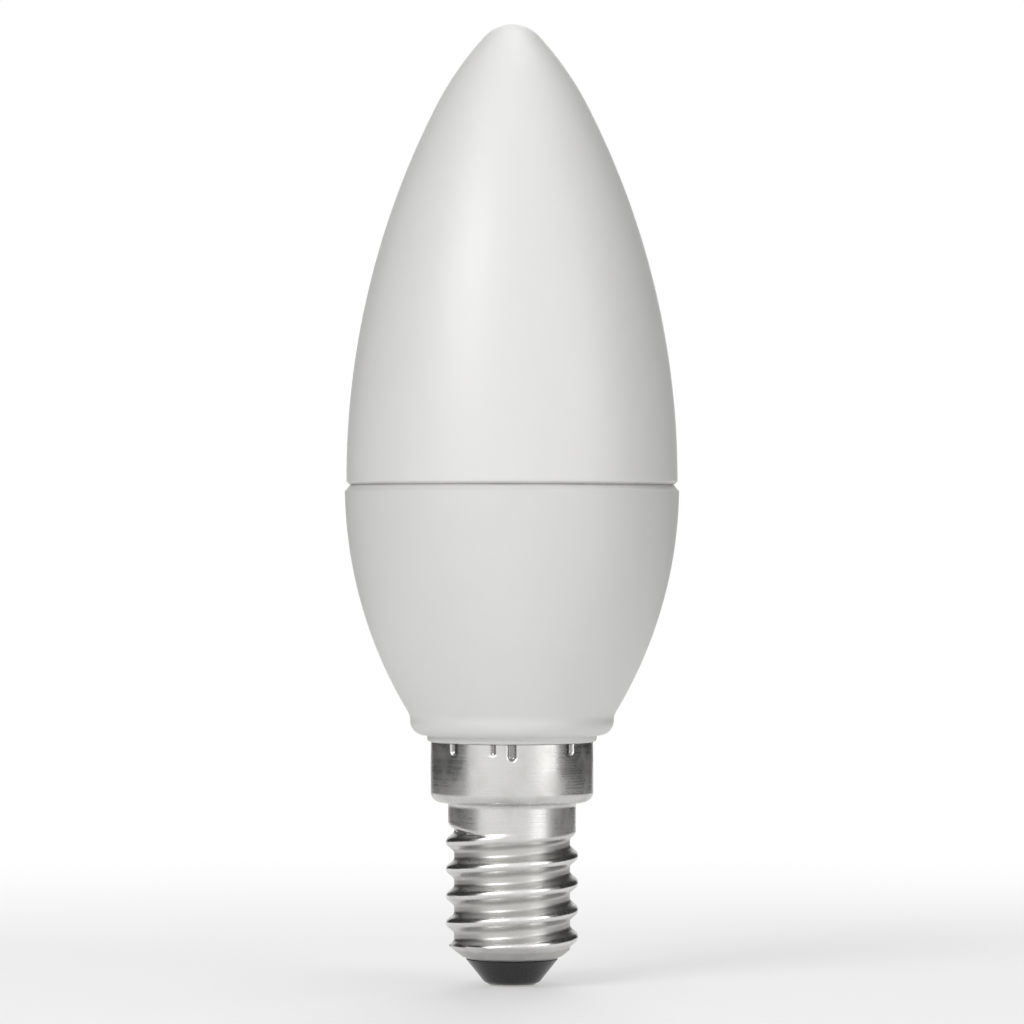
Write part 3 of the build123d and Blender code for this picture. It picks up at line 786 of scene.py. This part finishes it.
cap_points, cap_outer_count = cap_outline()
cap_sizes = {
    "Outer Rows": cap_outer_count,
    "Sheet": sheet,
    "Lip Radius": lip_radius,
    "Lip Height": lip_z,
    "Taper Slope": taper_slope,
    "Taper Spread": taper_spread,
    "Taper Height": taper_height,
    "Thread Start": lip_z - thread_lead_in,
    "Pitch": thread_pitch,
    "Crest Radius": crest_radius,
    "Crest Round": crest_round,
    "Root Radius": root_radius,
    "Thread Blend": thread_blend,
    "Sink Start": ridge_sink_start,
    "Sink End": ridge_sink_end,
    "Groove End": groove_end_turn,
    "Groove Close": groove_close,
    "Groove Drop": groove_drop,
    "Groove Half Width": groove_half,
    "Neck Radius": neck_radius,
    "Neck Height": neck_z,
    "Skirt Radius": skirt_radius,
    "Rim Height": rim_z,
    "Crimp Long": crimp_long,
    "Crimp Short": crimp_short,
    "Crimp Half Width": crimp_half,
    "Crimp Depth": crimp_depth,
    "Stake Turn": stake_turn,
    "Stake Length": stake_length,
    "Stake Half Width": stake_half,
    "Stake Depth": stake_depth,
}
turned_piece("candle_dome", dome_outline(), opal_finish(), "diffuser")
turned_piece("lamp_housing", housing_outline(), housing_finish(), "housing",
             cutters=housing_cutters())
turned_piece("rolled_cap", cap_points, cap_finish(), "cap_shell", segments=cap_segments,
             sizes=cap_sizes, shaping=roll_cap)
turned_piece("nose_insulator", insulator_outline(), insulator_finish(), "cap_insulator",
             segments=insulator_segments)
turned_piece("contact_button", contact_outline(), contact_finish(), "centre_contact",
             segments=contact_segments)

# Pieces inside, which keep their solids: the finish, its two tones, the size of its grain in millimetres,
# its roughness, how metallic it is, and the solids that get it
leds = [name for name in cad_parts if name.startswith("led_") and name != "led_board"]
inner_pieces = [
    ("spreader_aluminium", (0.74, 0.74, 0.75), (0.82, 0.82, 0.83), 1.0, 0.3, 1.0, ["heat_spreader"]),
    ("board_white", (0.88, 0.88, 0.86), (0.92, 0.92, 0.9), 2.0, 0.35, 0.0, ["led_board"]),
    ("phosphor_yellow", (0.90, 0.70, 0.16), (0.95, 0.80, 0.28), 0.6, 0.3, 0.0, leds),
    ("board_green", (0.04, 0.20, 0.09), (0.08, 0.28, 0.14), 1.5, 0.35, 0.0, ["driver_board"]),
    ("pin_tin", (0.76, 0.75, 0.72), (0.84, 0.83, 0.8), 0.4, 0.25, 1.0, ["link_pin_1", "link_pin_2"]),
    ("can_sleeve", (0.04, 0.04, 0.05), (0.07, 0.07, 0.08), 1.0, 0.3, 0.0, ["smoothing_capacitor"]),
    ("ferrite_grey", (0.08, 0.08, 0.085), (0.13, 0.13, 0.135), 0.5, 0.55, 0.0, ["choke_core"]),
    ("copper_enamel", (0.55, 0.22, 0.1), (0.68, 0.32, 0.16), 0.2, 0.3, 1.0, ["choke_winding"]),
    ("package_black", (0.025, 0.025, 0.025), (0.04, 0.04, 0.04), 0.4, 0.5, 0.0,
     ["bridge_rectifier", "driver_chip"]),
    ("resistor_cement", (0.26, 0.38, 0.36), (0.34, 0.46, 0.44), 0.5, 0.6, 0.0, ["fuse_resistor"]),
    ("wire_red", (0.5, 0.04, 0.03), (0.6, 0.06, 0.05), 0.8, 0.4, 0.0, ["live_wire"]),
    ("wire_white", (0.82, 0.82, 0.8), (0.88, 0.88, 0.86), 0.8, 0.4, 0.0, ["neutral_wire"]),
]
for finish_name, first, second, grain_size, roughness, metallic, solids in inner_pieces:
    material = inner_finish(finish_name, first, second, grain_size * MM, roughness, metallic)
    for solid in solids:
        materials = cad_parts[solid].data.materials
        materials.clear()
        materials.append(material)


# Floor, light and camera

floor_half = 2.0
floor_drop = 0.01 * MM
floor_tone = (0.9, 0.9, 0.9, 1)
floor_near_white = 0.4
floor_fade_start = 20 * MM
floor_fade_end = 220 * MM
card_tone = (0.03, 0.03, 0.03, 1)
card_side = 170 * MM
card_front = -80 * MM
card_back = 260 * MM
card_height = 320 * MM
card_turn_in = 0.6
world_light = 0.22
camera_distance = 544 * MM
camera_height = 49.5 * MM
view_width = 107.1 * MM
sensor_width = 36.0


def seen_rays(recipe):
    """1 for rays from the camera and for those that metal and glass send out."""
    path = recipe.node("ShaderNodeLightPath").socket.node.outputs
    rays = [Value(recipe, path[name]) for name in ("Is Camera Ray", "Is Glossy Ray", "Is Transmission Ray")]
    return rays[0].math("MAXIMUM", rays[1]).math("MAXIMUM", rays[2])


def flat_sheet(name, corners, finish):
    """One face between four corners."""
    mesh = bpy.data.meshes.new(name)
    mesh.from_pydata(corners, [], [(0, 1, 2, 3)])
    mesh.materials.append(finish.material)
    return placed(name, mesh)


def pale_floor():
    """A wide floor that fades into the white background away from the lamp."""
    finish = Finish("floor_pale", Base_Color=floor_tone, Roughness=0.8)
    x, y, _ = finish.parts(finish.place)
    fade = finish.ease(finish.reach(x, y), floor_fade_start, floor_fade_end)
    whiteness = floor_near_white + (1 - floor_near_white) * fade
    lit = Value(finish, finish.shader.outputs[0])
    white = finish.node("ShaderNodeEmission", sockets={"Color": WHITE, "Strength": 1.0})
    shown = finish.node("ShaderNodeMixShader", sockets={0: whiteness * seen_rays(finish), 1: lit, 2: white})
    finish.tree.links.new(shown.socket, finish.tree.nodes["Material Output"].inputs["Surface"])
    corners = [(-floor_half, -floor_half, 0), (floor_half, -floor_half, 0)]
    corners += [(floor_half, floor_half, 0), (-floor_half, floor_half, 0)]
    floor = flat_sheet("floor", corners, finish)
    floor.location.z = -floor_drop


def dark_card(name, side):
    """An upright card beside the lamp, unseen itself, that darkens pale edges and shows in the metal."""
    front = (side, card_front)
    back = (side * card_turn_in, card_back)
    corners = [(*front, 0), (*back, 0), (*back, card_height), (*front, card_height)]
    card = flat_sheet(name, corners, Finish(name + "_cloth", Base_Color=card_tone, Roughness=0.9))
    card.visible_camera = False
    card.visible_shadow = False


def white_world():
    """White where it is seen, and a soft even light elsewhere."""
    world = bpy.data.worlds.new("studio")
    bpy.context.scene.world = world
    world.use_nodes = True
    recipe = Recipe(world.node_tree)
    recipe.tree.nodes.clear()
    soft = recipe.node("ShaderNodeBackground", sockets={"Color": WHITE, "Strength": world_light})
    white = recipe.node("ShaderNodeBackground", sockets={"Color": WHITE, "Strength": 1.0})
    both = recipe.node("ShaderNodeMixShader", sockets={0: seen_rays(recipe), 1: soft, 2: white})
    recipe.node("ShaderNodeOutputWorld", sockets={"Surface": both})


def soft_light(name, place, width, power, mirrored):
    """A square area light that looks at the middle of the lamp, and may stay out of reflections."""
    data = bpy.data.lights.new(name, "AREA")
    data.size = width
    data.energy = power
    light = placed(name, data)
    light.location = place
    light.visible_glossy = mirrored
    aim = Vector((0, 0, tip_z / 2)) - light.location
    light.rotation_euler = aim.to_track_quat("-Z", "Y").to_euler()


pale_floor()
dark_card("left_card", -card_side)
dark_card("right_card", card_side)
white_world()
soft_light("key_light", (-0.55, -0.75, 0.6), width=0.5, power=5.0, mirrored=True)
soft_light("fill_light", (0.8, -0.6, 0.3), width=0.6, power=2.0, mirrored=True)
soft_light("top_light", (0.1, 0.1, 0.95), width=0.5, power=2.0, mirrored=True)
soft_light("back_light", (0.1, 1.0, 0.55), width=0.6, power=6.0, mirrored=False)

camera_data = bpy.data.cameras.new("camera")
camera_data.sensor_width = sensor_width
camera_data.lens = sensor_width * camera_distance / view_width
camera = placed("camera", camera_data)
camera.location = (0, -camera_distance, camera_height)
camera.rotation_euler = (QUARTER_TURN, 0, 0)
bpy.context.scene.camera = camera
bpy.context.scene.view_settings.view_transform = "Standard"
